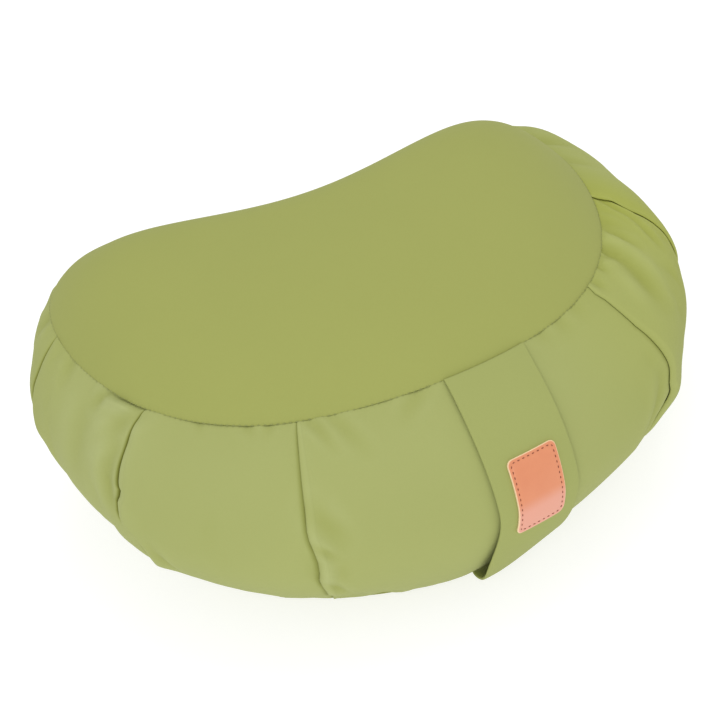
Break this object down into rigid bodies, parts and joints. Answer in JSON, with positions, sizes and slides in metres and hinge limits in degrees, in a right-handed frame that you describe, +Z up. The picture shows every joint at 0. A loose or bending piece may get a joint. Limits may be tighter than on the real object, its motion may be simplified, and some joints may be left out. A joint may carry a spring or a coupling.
{
  "type": "zafu meditation cushion",
  "caption": "Crescent meditation cushion with a filled, knife-pleated side band, a crowned top panel, a flat carry strap and a small leather patch on its rounded front.",
  "frame": {"origin": "middle of the cushion's bounding box, on the surface that it rests on", "axes": "+X along the crescent from end to end, -Y towards its rounded front with the carry strap, +Z up out of the top panel"},
  "size_m": [0.4006, 0.3142, 0.1663],
  "materials": {
    "side_cotton": "plain green cotton, matte",
    "panel_cotton": "plain green cotton, matte",
    "strap_cotton": "folded green cotton, matte",
    "label_leather": "smooth tan leather, soft sheen"
  },
  "bodies": {
    "root": {"side_band": "side_cotton", "top_panel": "panel_cotton", "bottom_panel": "panel_cotton", "handle_strap": "strap_cotton", "leather_label": "label_leather"}
  },
  "joints": []
}
